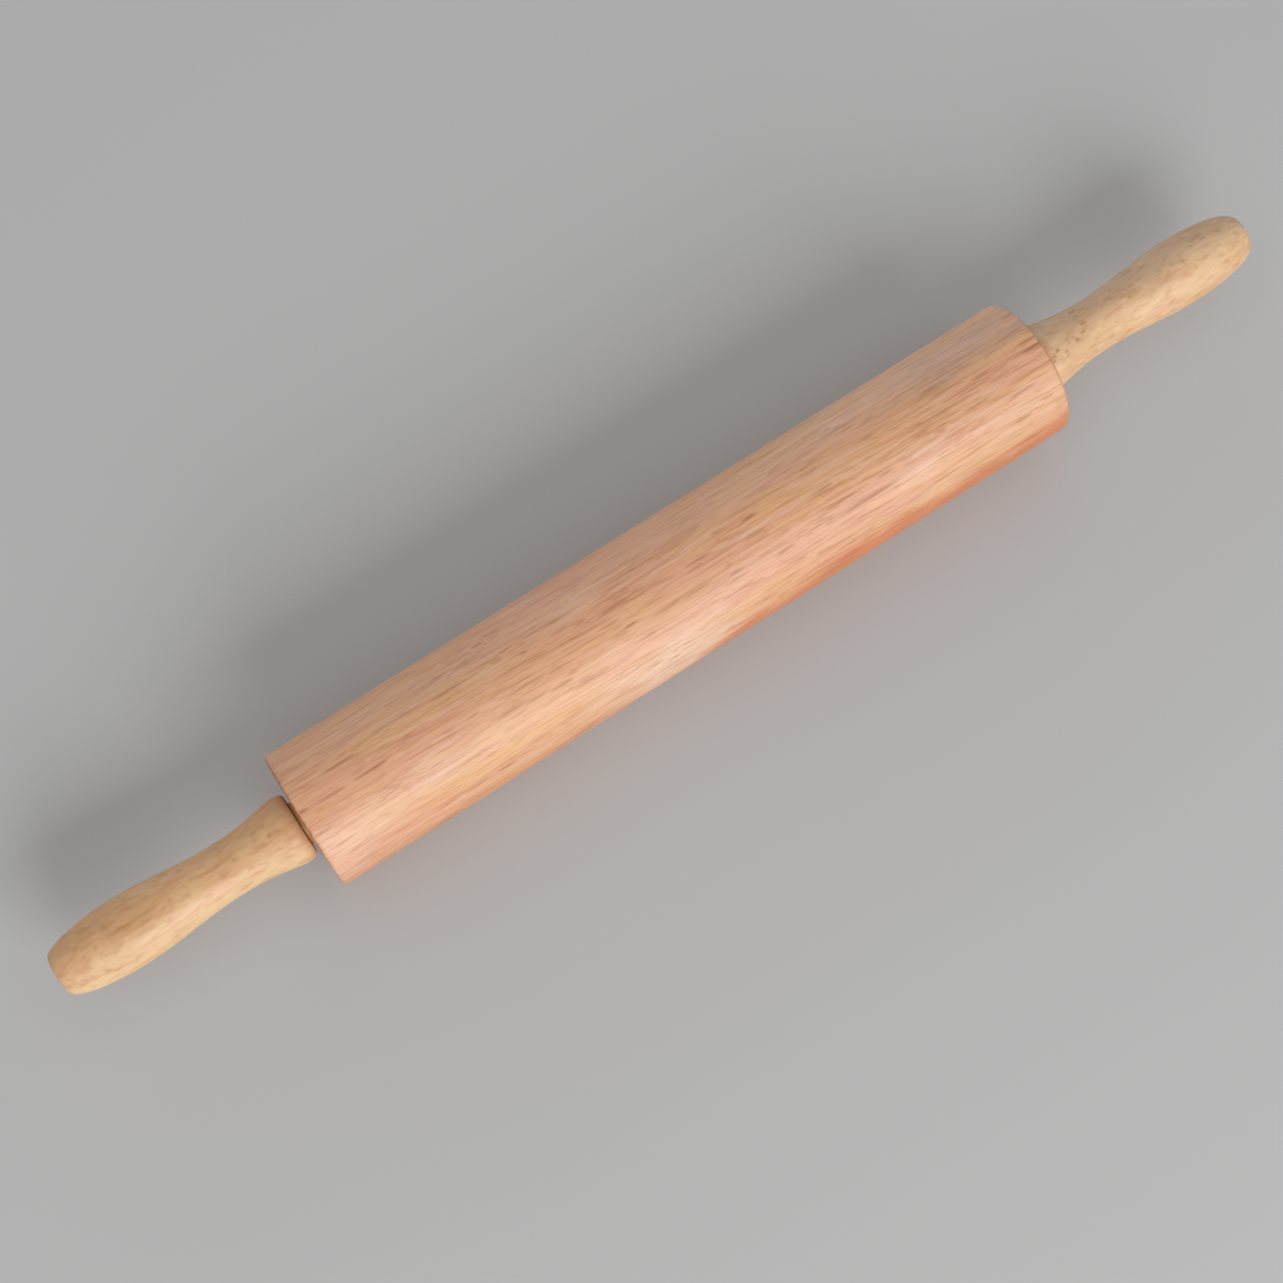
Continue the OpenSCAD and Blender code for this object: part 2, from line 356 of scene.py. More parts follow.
def wood(name, base, clouds, placed, grain, grain_tint, dashes, dash_tint, tilt, coat, rings=None):
    """Solid wood in object coordinates, with its fibres along X and a slight tilt. Over the
    base colour lie, in this order, clouds (size, detail, low, high, tint, amount), placed
    patches (attribute, tint, blend), grain (size, detail, low, high, amount), growth rings
    (spacing, pith's place, amount) on the end grain, and dashes (size, crowd size, low, high,
    amount), which are noise cut off so high that only short lines of it stay. Sizes are in
    millimetres along, across and up."""
    material = bpy.data.materials.new(name)
    material.use_nodes = True
    tree = material.node_tree
    tree.nodes.clear()
    spot = add(tree, "TexCoord").outputs["Object"]

    # Fibres wander sideways by up to 1.5 mm
    broad = add(tree, "Mapping", {"Vector": spot, "Scale": (70 * MM, 24 * MM, 24 * MM)},
                vector_type="TEXTURE")
    wander = add(tree, "TexNoise", {"Vector": broad.outputs[0], "Scale": 1, "Detail": 1})
    centred = add(tree, "VectorMath", {0: wander.outputs["Color"], 1: (0.5, 0.5, 0.5)},
                  operation="SUBTRACT")
    bent = add(tree, "VectorMath", {0: centred.outputs[0], 1: (0, 3 * MM, 3 * MM), 2: spot},
               operation="MULTIPLY_ADD")

    def figure(size, detail, shift):
        """One pattern of the wood: noise stretched to its size and shifted from the others."""
        mapped = add(tree, "Mapping", {
            "Vector": bent.outputs[0], "Location": (shift, 0.3 * shift, 0), "Rotation": (0, 0, tilt),
            "Scale": tuple(s * MM for s in size)}, vector_type="TEXTURE")
        return add(tree, "TexNoise", {"Vector": mapped.outputs[0], "Scale": 1, "Detail": detail}).outputs[0]

    # Each layer is a value, the two levels between which it comes in, its amount, tint and blend
    layers = []
    for number, (size, detail, low, high, tint, amount) in enumerate(clouds):
        layers.append((figure(size, detail, 0.37 * number), low, high, amount, tint, "MIX"))
    # A placed patch comes in where its strength and most of this noise add up to enough, so
    # that its edges run out in ragged tongues along the fibres
    ragged = figure((18, 2.4, 2.4), 2, 1.7)
    for attribute, tint, blend in placed:
        level = add(tree, "Attribute", attribute_name=attribute).outputs["Fac"]
        patch = add(tree, "Math", {0: ragged, 1: 0.9, 2: level}, operation="MULTIPLY_ADD")
        layers.append((patch.outputs[0], 0.6, 1.3, 1.0, tint, blend))
    for number, (size, detail, low, high, amount) in enumerate(grain, len(clouds)):
        layers.append((figure(size, detail, 0.37 * number), low, high, amount, grain_tint, "MULTIPLY"))
    if rings:
        spacing, pith, amount = rings
        round_pith = add(tree, "Mapping", {
            "Vector": bent.outputs[0], "Location": tuple(p * MM for p in pith), "Scale": (MM, MM, MM)},
            vector_type="TEXTURE")
        # The rings texture repeats every pi / 10 units at a scale of 1
        wave = add(tree, "TexWave", {
            "Vector": round_pith.outputs[0], "Scale": math.pi / 10 / spacing, "Distortion": 1.5,
            "Detail": 1, "Detail Scale": 0.6}, wave_type="RINGS", rings_direction="X")
        rim = add(tree, "Attribute", attribute_name="rim").outputs["Fac"]
        shown = add(tree, "Math", {0: wave.outputs["Fac"], 1: rim}, operation="MULTIPLY")
        layers.append((shown.outputs[0], 0.3, 1.0, amount, grain_tint, "MULTIPLY"))
    tone = (*base, 1)
    for value, low, high, amount, tint, blend in layers:
        strength = add(tree, "MapRange", {
            "Value": value, FROM_LOW: low, FROM_HIGH: high, TO_LOW: 0.0, TO_HIGH: amount},
            interpolation_type="SMOOTHSTEP").outputs[0]
        tone = add(tree, "Mix", {0: strength, MIX_A: tone, MIX_B: (*tint, 1)}, data_type="RGBA",
                   blend_type=blend).outputs[MIX_RESULT]

    # Placed grain marks are broken up by the fine noise that the wood has all over
    fibres = figure((7, 0.4, 0.4), 2, 0.9)
    breaks = add(tree, "MapRange", {"Value": fibres, FROM_LOW: 0.25, FROM_HIGH: 0.5},
                 interpolation_type="SMOOTHSTEP")
    marks = add(tree, "Attribute", attribute_name="mark").outputs["Fac"]
    lines = add(tree, "Math", {0: marks, 1: breaks.outputs[0]}, operation="MULTIPLY").outputs[0]
    for number, (size, crowd_size, low, high, amount) in enumerate(dashes):
        crowd = figure(crowd_size, 0, 0.6 + 0.31 * number)
        dash = figure(size, 1, 1.1 + 0.23 * number)
        crowded = add(tree, "Math", {0: crowd, 1: 0.8, 2: dash}, operation="MULTIPLY_ADD").outputs[0]
        cut = add(tree, "MapRange", {
            "Value": crowded, FROM_LOW: low, FROM_HIGH: high, TO_HIGH: amount},
            interpolation_type="SMOOTHSTEP").outputs[0]
        lines = add(tree, "Math", {0: lines, 1: cut}, operation="MAXIMUM").outputs[0]
    tone = add(tree, "Mix", {0: lines, MIX_A: tone, MIX_B: (*dash_tint, 1)},
               data_type="RGBA").outputs[MIX_RESULT]

    # Cut-open vessels are rougher than the sanded wood between them, and lie a little lower
    sanded = add(tree, "Math", {0: fibres, 1: 0.3, 2: 0.38}, operation="MULTIPLY_ADD").outputs[0]
    rough = add(tree, "Math", {0: lines, 1: 0.2, 2: sanded}, operation="MULTIPLY_ADD").outputs[0]
    relief = add(tree, "Math", {0: lines, 1: -1.0, 2: fibres}, operation="MULTIPLY_ADD").outputs[0]
    bump = add(tree, "Bump", {"Strength": 0.5, "Distance": 0.05 * MM, "Height": relief}).outputs[0]
    shader = add(tree, "BsdfPrincipled", {
        "Base Color": tone, "Roughness": rough, "Normal": bump, "IOR": 1.5,
        "Coat Weight": coat, "Coat Roughness": 0.5})
    add(tree, "OutputMaterial", {"Surface": shader.outputs[0]})
    return material


def rubberwood(finish):
    """Sanded and oiled rubberwood: pinkish tan, with soft pink, yellow and pale clouds, short
    brown lines along the grain where vessels are cut open, and a satin sheen where the light
    grazes. The real vessels are 0.1 to 0.3 mm wide, which is too fine to show, so their
    lines are drawn 0.5 to 0.8 mm wide. The growth rings on the end grain lie 2.5 mm apart."""
    return wood(
        "Rubberwood, sanded and oiled", finish.barrel,
        clouds=(
            ((110, 14, 14), 1, 0.40, 0.64, finish.barrel_pink, 0.45),
            ((60, 7, 7), 1, 0.46, 0.70, finish.barrel_yellow, 0.5),
            ((26, 3, 3), 1, 0.50, 0.74, finish.barrel_pink, 0.4),
            ((34, 3, 3), 1, 0.50, 0.74, finish.barrel_pale_and_sheen, 0.3),
        ),
        placed=(
            # Painted sheen on the lit near side and on the far side's edge towards the right end
            ("pale", finish.barrel_pale_and_sheen, "MIX"),
            # Painted grey sheen on the far side towards the right end
            ("grey", finish.barrel_grey_sheen, "MIX"),
            # Painted warm reflected light low on the near side
            ("warm", finish.barrel_warm_bounce, "MIX"),
            # End grain, and painted shade: weaker low on the near side
            ("rim", finish.rim, "MULTIPLY"),
        ),
        grain=(
            ((18, 1.2, 1.2), 2, 0.46, 0.74, 0.5),
            ((6, 1, 1), 2, 0.50, 0.76, 0.35),
            ((40, 0.6, 0.6), 1, 0.46, 0.72, 0.45),
        ),
        grain_tint=finish.grain,
        dashes=(
            ((10, 0.8, 0.8), (34, 6, 6), 1.12, 1.34, 0.45),
            ((5, 0.5, 0.5), (24, 5, 5), 1.10, 1.32, 0.4),
        ),
        dash_tint=finish.vessel, tilt=math.radians(-1.5), coat=0.7, rings=(2.5, (0, 60, -10), 0.6))


def handle_wood(finish):
    """Turned and waxed birch, or a wood much like it: yellower and closer grained than the
    barrel and mottled brown, pink and pale. It has only faint lines and a lower sheen. Its
    placed flecks are about 1 mm wide, coarser than many real ones, so that they show."""
    return wood(
        "Birch, turned and waxed", finish.handle,
        clouds=(
            ((34, 9, 9), 1, 0.42, 0.66, finish.handle_brown, 0.6),
            ((14, 6, 6), 1, 0.48, 0.70, finish.handle_pink, 0.5),
            ((5, 2.6, 2.6), 1, 0.48, 0.72, finish.handle_pale_and_light, 0.4),
        ),
        placed=(
            # Painted light, paler low on the left handle's near side
            ("pale", finish.handle_pale_and_light, "MIX"),
            # Painted shade on the upper sides: browner on the left handle, greyer on the right one
            ("tan", finish.handle_left_shade, "MULTIPLY"),
            ("grey", finish.handle_right_shade, "MULTIPLY"),
        ),
        grain=(
            ((5, 2, 2), 1, 0.46, 0.76, 0.4),
            ((16, 1.2, 1.2), 1, 0.48, 0.78, 0.25),
        ),
        grain_tint=finish.grain,
        dashes=(), dash_tint=finish.fleck, tilt=math.radians(1), coat=0.3)


def plain(name, base, metallic, roughness, grain, depth, ior=None):
    """A finish with one body colour. Its tone, its roughness and its relief of depth
    millimetres follow a noise whose grains measure grain millimetres along, across and up."""
    material = bpy.data.materials.new(name)
    material.use_nodes = True
    tree = material.node_tree
    tree.nodes.clear()
    coordinates = add(tree, "TexCoord").outputs["Object"]
    mapped = add(tree, "Mapping", {"Vector": coordinates, "Scale": tuple(g * MM for g in grain)},
                 vector_type="TEXTURE")
    noise = add(tree, "TexNoise", {"Vector": mapped.outputs[0], "Scale": 1, "Detail": 3}).outputs[0]
    darker = tuple(c * 0.9 for c in base)
    tone = add(tree, "Mix", {0: noise, MIX_A: (*darker, 1), MIX_B: (*base, 1)}, data_type="RGBA")
    spread = add(tree, "MapRange", {
        "Value": noise, TO_LOW: roughness * 0.8, TO_HIGH: roughness * 1.2}).outputs[0]
    bump = add(tree, "Bump", {"Strength": 0.4, "Distance": depth * MM, "Height": noise})
    inputs = {"Base Color": tone.outputs[MIX_RESULT], "Roughness": spread, "Normal": bump.outputs[0],
              "Metallic": metallic}
    if ior:
        inputs["IOR"] = ior
    shader = add(tree, "BsdfPrincipled", inputs)
    add(tree, "OutputMaterial", {"Surface": shader.outputs[0]})
    return material


# Grain marks that stand out, placed one by one. Each has the place where it starts and ends
# along X in mm, its place round the pin in degrees from the top towards the near side, and
# its strength.
BARREL_MARKS = (
    (-149, -145, 7, 1.0), (-142, -131, 8, 0.7), (-129, -115, 8, 1.0), (-136, -122, -9, 0.8),
    (-128, -121, 3, 0.5), (-126, -121, -1, 0.4), (-145, -140, -15, 0.4), (-131, -129, -23, 0.6),
    (-129, -126, -14, 0.5), (-126, -116, 24, 0.5), (-149, -140, 28, 0.5), (-145, -136, 43, 0.5),
    (-97, -91, 14, 0.5), (-87, -82, 14, 0.5), (-94, -80, -12, 0.5), (-70, -66, -12, 0.9),
    (-72, -68, -34, 0.8), (-72, -68, -36, 0.7), (-82, -73, -33, 0.5), (-69, -67, -5, 0.6),
    (-61, -58, -6, 0.9), (-64, -56, 16, 0.5), (-57, -49, 18, 0.5), (-78, -68, 26, 0.6),
    (-69, -58, 28, 0.7), (-59, -49, 30, 0.9), (-56, -49, 37, 0.5), (-100, -87, 68, 0.5),
    (-86, -80, 67, 0.8), (-48, -41, -6, 0.5), (-40, -35, -3, 0.8), (-26, -20, -6, 0.9),
    (-32, -19, 1, 0.9), (-43, -28, 6, 0.5), (-34, -26, 11, 0.5), (-30, -26, 16, 0.5),
    (-27, -21, 19, 0.8), (-32, -25, 22, 0.5), (-17, -4, 23, 0.8), (-6, 8, 24, 0.7),
    (-26, -17, 34, 0.5), (1, 12, 5, 0.8), (2, 8, 9, 0.5), (26, 33, -2, 1.2),
    (16, 19, -6, 0.8), (10, 14, -19, 0.5), (-34, -31, -29, 0.5), (23, 32, 12, 0.6),
    (20, 33, 16, 0.5), (14, 16, 20, 0.5), (13, 19, 28, 0.8), (24, 30, 28, 0.5),
    (30, 39, 34, 0.8), (10, 20, 33, 0.5), (5, 20, 42, 0.4), (18, 24, 44, 0.5),
    (36, 40, 48, 0.6), (43, 50, 53, 0.6), (20, 38, 56, 0.4), (43, 49, -25, 0.8),
    (52, 60, 10, 0.6), (61, 68, 6, 0.5), (72, 77, 8, 0.5), (53, 66, 19, 0.5),
    (52, 67, 25, 0.8), (74, 81, 25, 0.8), (55, 80, 35, 1.0), (50, 66, 42, 0.4),
    (62, 63, -37, 0.6), (71, 75, -29, 0.5), (73, 79, -22, 0.5), (80, 86, -19, 0.5),
    (107, 110, -23, 0.5), (103, 110, -13, 0.6), (113, 125, -13, 0.5), (104, 125, -5, 0.5),
    (75, 85, 13, 0.4), (99, 104, 20, 0.8), (93, 110, 10, 0.5), (111, 123, 18, 0.8),
    (100, 110, 27, 0.5), (113, 118, 5, 0.5), (124, 133, 4, 0.6), (124, 133, 9, 0.6),
    (127, 141, 28, 0.8), (140, 149, -4, 0.8), (141, 149, 3, 1.2), (138, 144, 43, 0.8),
    (126, 134, 48, 0.8), (143, 149, -34, 0.6), (90, 98, 51, 0.5), (62, 67, 68, 0.5),
)
HANDLE_MARKS = (
    (153, 156, 24, 0.7), (153, 155, 30, 0.6), (156, 158, 18, 0.8), (159, 161, 28, 0.6),
    (159, 161, 35, 0.5), (165, 167, 21, 0.8), (164, 166, 12, 0.4), (162, 163, 16, 0.4),
    (168, 171, 14, 0.7), (170, 173, 0, 0.8), (170, 173, -38, 0.6), (173, 176, -32, 0.4),
    (190, 192, 5, 0.4), (213, 215, 2, 0.4), (216, 218, 22, 0.3), (219, 227, -24, 0.4),
    (220, 226, -20, 0.4), (230, 234, -13, 0.5), (236, 238, 8, 0.3), (180, 183, -34, 0.3),
    (-225, -202, 3, 0.5), (-219, -203, 8, 0.3), (-220, -203, 14, 0.3), (-228, -226, 8, 0.4),
    (-232, -226, -2, 0.3), (-200, -198, 6, 0.4), (-195, -192, 15, 0.3), (-194, -192, 20, 0.3),
    (-190, -186, 36, 0.3), (-190, -174, -3, 0.3), (-176, -173, 5, 0.4), (-173, -170, 36, 0.4),
    (-162, -160, 3, 0.5), (-168, -163, 8, 0.3), (-158, -154, 24, 0.3), (-215, -206, 27, 0.3),
)


def strokes(x, radius, marks, width):
    """Strength of a set of grain marks at points that lie at x, and at the angle of their
    column round the pin. Across a mark it falls off as a bell curve of the width given, and
    along it it fades smoothly over its last quarter at each end."""
    a = angles(x.shape[1])
    strength = np.zeros(x.shape)
    for start, end, degrees, level in marks:
        middle, half = (start + end) / 2 * MM, (end - start) / 2 * MM
        along = 1 - smoothstep(0.5, 1.1, np.abs(x - middle) / half)
        turn = (a - math.radians(90 + degrees) + math.pi) % (2 * math.pi) - math.pi
        across = np.exp(-(turn * radius / width) ** 2)
        strength = np.maximum(strength, level * along * across)
    return strength


def lower_side(a, low, high, gone=125):
    """Rises from 0 to 1 between two angles, in degrees from the top towards the near side,
    and fades away between 100 degrees and the angle at which it is gone."""
    degrees = (np.degrees(a) - 90) % 360
    return smoothstep(low, high, degrees) * (1 - smoothstep(100, gone, degrees))


def bell(x, middle, reach):
    """A bell curve of height 1 about the middle."""
    return np.exp(-((x - middle) / reach) ** 2)


def pale_sheen_patches(x, a):
    """Strength of the painted sheen at x mm, as a sum of bands: on the near side a patch left
    of the middle, one low at the left end and one towards the right end, and the far side
    towards the right end."""
    middle = 0.68 * bell(x, -20, 36) * lower_side(a, 25, 60)
    left_end = 0.35 * smoothstep(-95, -135, x) * lower_side(a, 25, 50)
    right_end = 0.3 * smoothstep(30, 70, x) * lower_side(a, 10, 35)
    far_side = 0.4 * smoothstep(0, 90, x) * lower_side(math.pi - a, 5, 40)
    return middle + left_end + right_end + far_side


def grey_sheen_end(x, a):
    """Strength of the painted grey sheen, a band on the far side towards the right end."""
    band = lower_side(math.pi - a, 0, 15) - 0.8 * lower_side(math.pi - a, 35, 60)
    return 0.5 * smoothstep(60, 115, x) * band


def warm_bounce_band(x, a):
    """Strength of the painted warm reflected light at x mm, an orange band low on the near
    side. Its edge lies about 66 degrees from the top, wanders by a few degrees, and turns
    down out of sight left of the middle."""
    edge = 66 + 26 * bell(x, -17, 20) + 7 * smoothstep(-60, -130, x)
    edge = edge + 4 * bell(x, 28, 20)
    edge = edge + 2.5 * np.sin(x / 14) + 1.5 * np.sin(x / 5 + 1)
    level = 0.5 + 0.5 * smoothstep(-50, 30, x)
    return level * lower_side(a, edge - 18, edge + 26, 160)


class PIN_OT_barrel(bpy.types.Operator):
    """Turn the barrel, with its seats for the bushes"""

    bl_idname = "pin.barrel"
    bl_label = "Barrel"

    def execute(self, context):
        """Turns one closed profile: the wall with its eased edges, the end faces, the recesses,
        the seats and the core. Attributes place the wood's tints and marks on it, with painted
        sheen, painted shade and painted warm reflected light, and the wall dips by up to the
        sanding depth, as the sum of two waves."""
        s = context.scene.pin_barrel
        left, right = ends("barrel")
        wall = BARREL_RADIUS
        core, seat, recess = s.core / 2, s.seat / 2, s.recess / 2
        x, r = eased([
            (left, wall, s.ease),
            (right, wall, s.ease),
            (right, recess, s.mouth),
            (right - s.recess_depth, recess, 0),
            (right - s.recess_depth, seat, 0),
            (right - s.seat_depth, seat, 0),
            (right - s.seat_depth, core, 0),
            (left + s.seat_depth, core, 0),
            (left + s.seat_depth, seat, 0),
            (left + s.recess_depth, seat, 0),
            (left + s.recess_depth, recess, 0),
            (left, recess, s.mouth),
        ])
        # The outer wall carries the grain marks, so its rows lie closer than those inside
        outer = 2 * EASED_POINTS
        outside = np.array(fill_in(x[:outer], r[:outer], 2 * MM))
        inside = np.array(fill_in(x[outer - 1:], r[outer - 1:], 25 * MM))
        x, r = np.concatenate([outside, inside[:, 1:]], 1)[:, :, None]
        a = angles(BARREL_COLUMNS)
        x, r = x + 0 * a, r + 0 * a
        outer_wall = r > wall - s.ease
        # The eased edges and the ends cut across the fibres, so the tint of end grain is full
        # 0.8 mm below the wall. It is weaker low on the near side, so that in part it is painted
        # shade, darker on the upper side.
        end_grain = smoothstep(0, 0.8 * MM, wall - r)
        attributes = {
            "mark": 0.8 * strokes(x, wall, BARREL_MARKS, 0.5 * MM) * outer_wall,
            "warm": warm_bounce_band(x / MM, a),
            "pale": pale_sheen_patches(x / MM, a),
            "grey": grey_sheen_end(x / MM, a),
            "rim": end_grain * (1 - 0.6 * lower_side(a, 20, 60)),
        }
        # The dip waves three times round the barrel and twists along it, and twice against that
        dip = 0.5 + 0.25 * np.sin(3 * a + 21 * x) + 0.25 * np.sin(2 * a - 47 * x + 1)
        r = r - np.where(outer_wall, s.sanding * dip, 0)
        piece = turned("barrel_rubberwood", x, r, BARREL_COLUMNS, loop=True, attributes=attributes)
        place(piece, "barrel", "roller", rubberwood(context.scene.pin_finish))
        return {"FINISHED"}


def handle_profile(s, reach):
    """Outline of a handle: a quarter ellipse up to the bead, a hollow down to the neck, a long
    rise to the swell, and a full nose that ends in a flat face. Each is a formula of one
    parameter that runs from 0 to 1."""
    steps = 60
    t = np.linspace(0, 1, steps + 1)
    root, bead, neck, swell, tip = (d / 2 for d in (s.root, s.bead, s.neck, s.swell, s.tip))
    quarter = t * math.pi / 2
    k = 2 / s.nose_power
    x = [
        s.bead_at * (1 - np.cos(quarter)),
        s.bead_at + (s.neck_at - s.bead_at) * t,
        s.neck_at + (s.swell_at - s.neck_at) * t,
        s.swell_at + (reach - s.swell_at) * np.sin(quarter) ** k,
    ]
    r = [
        root + (bead - root) * np.sin(quarter),
        swing(bead, neck, t ** s.hollow_lead),
        swing(neck, swell, t),
        tip + (swell - tip) * np.clip(np.cos(quarter), 0, 1) ** k,
    ]
    x = np.concatenate([x[0]] + [part[1:] for part in x[1:]])
    r = np.concatenate([r[0]] + [part[1:] for part in r[1:]])
    return x, r


def handle_painted_light(side, degrees):
    """Strength of each painted tint of a handle, at degrees from the top towards the near side.
    The upper side gets painted shade, browner on the left handle and greyer on the right one.
    It ends over 70 degrees, further down on the left handle, which also gets painted light,
    paler low on the near side."""
    border = 69 if side < 0 else 39
    # Painted shade on the upper side, strongest at the top
    upper = np.clip((border - degrees) / 70, 0, 1) * smoothstep(-150, -110, degrees)
    if side > 0:
        return {"grey": upper}
    # Painted light: paler low on the near side of the left handle
    pale = 0.5 * smoothstep(35, 70, degrees) * (1 - smoothstep(110, 150, degrees))
    return {"tan": upper, "pale": pale}


class PIN_OT_handles(bpy.types.Operator):
    """Turn the two handles, with their pockets for the inserts"""

    bl_idname = "pin.handles"
    bl_label = "Handles"

    def execute(self, context):
        """Turns each handle's outline, with the pocket in its face and the flat at its tip. On
        the left the profile runs along -X."""
        s = context.scene.pin_handle
        material = handle_wood(context.scene.pin_finish)
        pocket = s.pocket / 2
        a = angles(HANDLE_COLUMNS)
        degrees = (np.degrees(a) + 90) % 360 - 180
        for side, node in ((-1, "handle_left"), (1, "handle_right")):
            root, tip = sorted(abs(x) for x in ends(node))
            x, r = handle_profile(s, tip - root)
            x = np.concatenate([[s.pocket_depth, s.pocket_depth, 0], x, [tip - root]])
            r = np.concatenate([[0, pocket, pocket], r, [0]])
            x, r = fill_in(x, r, 1 * MM)
            x, r = root + x[:, None] + 0 * a, r[:, None]
            outer_wall = r > pocket + 1 * MM
            marks = strokes(side * x, s.bead / 2, HANDLE_MARKS, 0.8 * MM) * outer_wall
            attributes = {"mark": marks, **handle_painted_light(side, degrees)}
            piece = turned(node + "_turned", x, r, HANDLE_COLUMNS, side, attributes=attributes)
            place(piece, node, "spindle", material)
        return {"FINISHED"}


class PIN_OT_washers(bpy.types.Operator):
    """Cut the two nylon washers"""

    bl_idname = "pin.washers"
    bl_label = "Washers"

    def execute(self, context):
        """Turns a flat ring with rounded edges for each washer, from its bore to its rim."""
        s = context.scene.pin_fitting
        finish = context.scene.pin_finish
        # Sheet nylon that has taken up oil: an even warm tan, made deeper as painted warm bounce light from
        # the wood round it, with the soft sheen of plastic
        material = plain(
            "Nylon 6 sheet, punched", finish.washer, metallic=0, roughness=0.42,
            grain=(1.5, 1.5, 1.5), depth=0.02, ior=1.53)
        bore = s.washer_bore / 2
        for node in ("washer_left", "washer_right"):
            left, right = ends(node)
            rim = diameter(node) / 2
            x, r = eased([
                (left, rim, s.edge),
                (right, rim, s.edge),
                (right, bore, s.edge),
                (left, bore, s.edge),
            ])
            piece = turned(node + "_nylon", x, r, WASHER_COLUMNS, loop=True)
            place(piece, node, "washers", material)
        return {"FINISHED"}


class PIN_OT_bushes(bpy.types.Operator):
    """Mould the two flanged bushes, with their crush ribs"""

    bl_idname = "pin.bushes"
    bl_label = "Bushes"

    def execute(self, context):
        """Turns each bush as a closed ring of sleeve and flange. The ribs add to the sleeve's
        radius a height that repeats evenly round the axis."""
        s = context.scene.pin_fitting
        finish = context.scene.pin_finish
        # Moulded nylon in its natural colour: milky and a little yellow, with a waxy sheen
        material = plain(
            "Nylon 6, moulded", finish.nylon, metallic=0, roughness=0.45,
            grain=(2, 2, 2), depth=0.02, ior=1.53)
        sleeve, bore = s.sleeve / 2, s.bush_bore / 2
        for side, node in ((-1, "bush_left"), (1, "bush_right")):
            inner, outer = sorted(abs(x) for x in ends(node))
            flange = diameter(node) / 2
            x, r = eased([
                (inner, bore, s.bore_lead),
                (inner, sleeve, s.sleeve_lead),
                (outer - s.flange, sleeve, 0),
                (outer - s.flange, flange, s.edge),
                (outer, flange, s.edge),
                (outer, bore, s.bore_lead),
            ])
            x, r = fill_in(np.append(x, x[0]), np.append(r, r[0]), 1 * MM)
            x, r = x[:-1, None], r[:-1, None]
            # A rib rises and falls smoothly round the sleeve, and begins behind the lead
            turn = (angles(BUSH_COLUMNS) * s.ribs / (2 * math.pi) + 0.5) % 1 - 0.5
            across = turn * 2 * math.pi / s.ribs * sleeve
            rib = 1 - smoothstep(0.35, 0.6, np.abs(across) / s.rib_width)
            start = inner + s.sleeve_lead
            along = smoothstep(start, start + 0.8 * MM, x) * (x < outer - s.flange - 0.1 * MM)
            r = r + s.rib_height * rib * along * (r > sleeve - 0.05 * MM)
            piece = turned(node + "_nylon", x, r, BUSH_COLUMNS, side, loop=True)
            place(piece, node, "roller", material)
        return {"FINISHED"}


def thread_radius(s, x, a, start, end):
    """Radius of the rod's thread at x and angle a: a ridge that moves on by one pitch for
    each turn. Its height is a triangle wave cut flat, so that the crest and each flank take a
    fifth of the pitch and the root takes the rest. It runs out to the root at both ends."""
    phase = (x / s.pitch - a / (2 * math.pi)) % 1
    ridge = np.clip(1.5 - abs(phase - 0.5) * 5, 0, 1)
    fade = smoothstep(start, start + s.pitch, x) * (1 - smoothstep(end - s.pitch / 2, end, x))
    return s.thread / 2 - s.thread_depth * (1 - ridge * fade)


class PIN_OT_rod(bpy.types.Operator):
    """Turn the axle rod and cut its threads"""

    bl_idname = "pin.rod"
    bl_label = "Axle rod"

    def execute(self, context):
        """Turns the rod as two like halves. A half runs from the middle over the shoulder and
        the undercut to the end of the thread, whose radius follows the thread's formula."""
        s = context.scene.pin_fitting
        finish = context.scene.pin_finish
        tip = ends("axle_rod")[1]
        shoulder = ends("handle_right")[0] + s.socket
        start = shoulder + s.undercut
        body = s.rod / 2
        ease = s.shoulder_chamfer
        low = s.thread / 2 - s.thread_depth
        rows = np.linspace(start, tip - 0.02 * MM, THREAD_ROWS)[:, None]
        a = angles(THREAD_COLUMNS)
        thread = thread_radius(s, rows, a, start, tip)
        # The right half, whose long stem is split every 40 mm
        stem = [(x * MM, body) for x in (0, 40, 80, 120)]
        stem += [(shoulder - ease, body), (shoulder, body - ease), (shoulder, low)]
        stem_x, stem_r = np.array(stem).T[:, :, None]
        face_x, face_r = np.array([(tip, low - 0.1 * MM), (tip, 0)]).T[:, :, None]
        x = np.concatenate([stem_x, rows, face_x]) + 0 * a
        r = np.concatenate([stem_r + 0 * a, thread, face_r + 0 * a])
        # The left half is the right one turned about
        x = np.concatenate([-x[:0:-1], x])
        r = np.concatenate([turned_back(r[:0:-1]), r])
        piece = turned("axle_rod_steel", x, r, THREAD_COLUMNS)
        # Drawn steel: a cool grey whose highlights are stretched along the rod. Its drawing
        # lines are far finer than 0.3 mm, and are drawn that wide so that they show.
        material = plain(
            "Steel, cold drawn", finish.steel, metallic=1, roughness=0.3,
            grain=(25, 0.3, 0.3), depth=0.01)
        place(piece, "axle_rod", "spindle", material)
        return {"FINISHED"}


